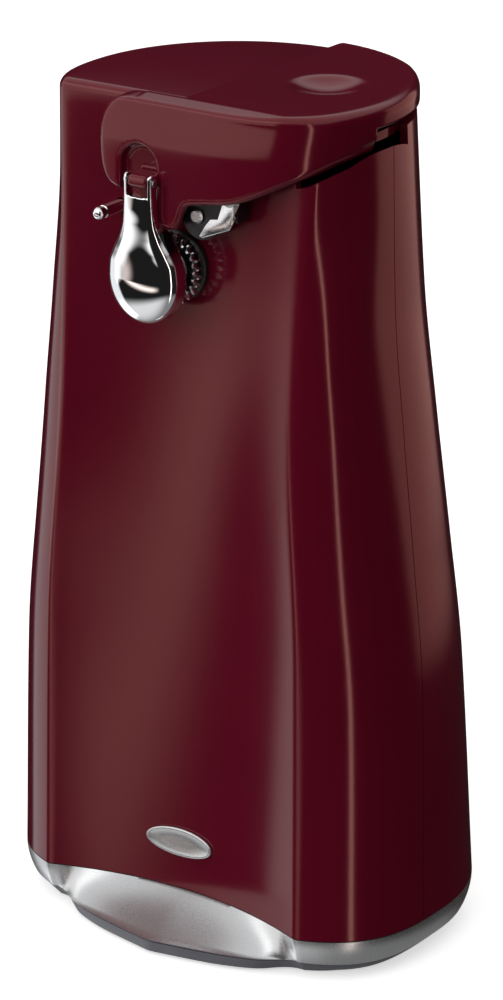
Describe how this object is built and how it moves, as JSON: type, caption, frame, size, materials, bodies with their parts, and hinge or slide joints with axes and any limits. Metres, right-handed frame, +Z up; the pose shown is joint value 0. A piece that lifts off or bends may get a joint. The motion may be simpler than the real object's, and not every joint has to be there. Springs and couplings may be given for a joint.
{
  "type": "electric can opener",
  "caption": "Upright electric can opener: flared plastic tower with a lift-up cutter lever and hood, toothed drive wheel, hanging magnet arm, geared motor and lever switch.",
  "frame": {"origin": "centre of the footprint, on the table under the feet", "axes": "+Z up the tower; the working face with the lever, wheel and magnet arm looks along -Y; +X to the thumb end of the lever"},
  "size_m": [0.13, 0.104, 0.2413],
  "materials": {
    "housing_red": "gloss moulded plastic, deep burgundy",
    "satin_silver": "satin silver paint on moulded plastic",
    "base_grey": "plain moulded, cool grey",
    "black_plastic": "plain moulded, black",
    "chrome": "mirror plated pressing",
    "steel": "bare machined steel",
    "bronze": "sintered bronze",
    "nylon": "natural moulded nylon",
    "copper": "lacquered copper wire",
    "ferrite": "dull sintered ferrite",
    "rubber": "soft moulded rubber"
  },
  "bodies": {
    "housing": {"front_housing": "housing_red", "rear_cover": "housing_red", "housing_screw_1": "steel", "housing_screw_2": "steel", "housing_screw_3": "steel", "housing_screw_4": "steel", "cord_inlet": "black_plastic", "base_skirt": "satin_silver", "bottom_plate": "base_grey", "foot_1": "rubber", "foot_2": "rubber", "foot_3": "rubber", "foot_4": "rubber", "badge": "satin_silver", "lever_pivot_pin": "steel", "guide_pin": "chrome", "front_bush": "bronze", "drive_bezel": "black_plastic", "gear_plate_front": "steel", "gear_plate_rear": "steel", "spacer_post_1": "steel", "spacer_post_2": "steel", "spacer_post_3": "steel", "spacer_post_4": "steel", "first_gear_axle": "steel", "second_gear_axle": "steel", "motor_stator": "steel", "coil_bobbin": "nylon", "field_coil": "copper", "motor_bracket": "steel", "motor_bush_front": "bronze", "motor_bush_rear": "bronze", "motor_screw_1": "steel", "motor_screw_2": "steel", "switch_body": "black_plastic", "spring_seat": "base_grey", "lever_return_spring": "steel"},
    "rocker": {"switch_rocker": "base_grey"},
    "plunger": {"switch_plunger": "nylon"},
    "lever": {"hand_lever": "housing_red", "cutter_mount": "black_plastic", "cutter_blade": "steel", "cutter_screw": "steel", "blade_screw": "steel", "magnet_arm_pin": "steel"},
    "arm": {"magnet_arm": "chrome", "magnet": "ferrite"},
    "rotor": {"rotor": "steel", "rotor_shaft": "steel", "motor_pinion": "steel"},
    "first_gear": {"first_gear": "nylon"},
    "second_gear": {"second_gear": "nylon"},
    "drive": {"drive_wheel": "steel", "drive_shaft": "steel", "output_gear": "steel", "wheel_nut": "steel"}
  },
  "joints": [
    {"name": "lever_press", "type": "hinge", "parent": "housing", "child": "rocker", "pos_m": [-0.012, 0, 0.232], "axis": [0, -1, 0], "range_deg": [-1.6, 0], "stiffness_Nm_per_rad": 4, "springref_deg": 2.29, "deforming": ["lever_return_spring"]},
    {"name": "lever_lift", "type": "hinge", "parent": "rocker", "child": "lever", "pos_m": [-0.012, 0, 0.232], "axis": [0, -1, 0], "range_deg": [0, 30]},
    {"name": "plunger_slide", "type": "slide", "parent": "housing", "child": "plunger", "axis": [0, 0, 1], "range_m": [-0.0011, 0]},
    {"name": "magnet_arm_swing", "type": "hinge", "parent": "lever", "child": "arm", "pos_m": [-0.0053, -0.045, 0.2202], "axis": [-1, 0, 0], "range_deg": [0, 90]},
    {"name": "rotor_spin", "type": "hinge", "parent": "housing", "child": "rotor", "pos_m": [-0.002, 0, 0.1322], "axis": [0, 1, 0], "continuous": true},
    {"name": "first_gear_spin", "type": "hinge", "parent": "housing", "child": "first_gear", "pos_m": [-0.002, 0, 0.1542], "axis": [0, 1, 0], "continuous": true},
    {"name": "second_gear_spin", "type": "hinge", "parent": "housing", "child": "second_gear", "pos_m": [0.00624, 0, 0.1746], "axis": [0, 1, 0], "continuous": true},
    {"name": "wheel_spin", "type": "hinge", "parent": "housing", "child": "drive", "pos_m": [-0.002, 0, 0.195], "axis": [0, 1, 0], "continuous": true}
  ],
  "couplings": [
    {"joint": "plunger_slide", "follows": "lever_press", "m_per_rad": 0.037},
    {"joint": "first_gear_spin", "follows": "rotor_spin", "ratio": -0.25},
    {"joint": "second_gear_spin", "follows": "rotor_spin", "ratio": 0.0625},
    {"joint": "wheel_spin", "follows": "rotor_spin", "ratio": -0.015625}
  ]
}
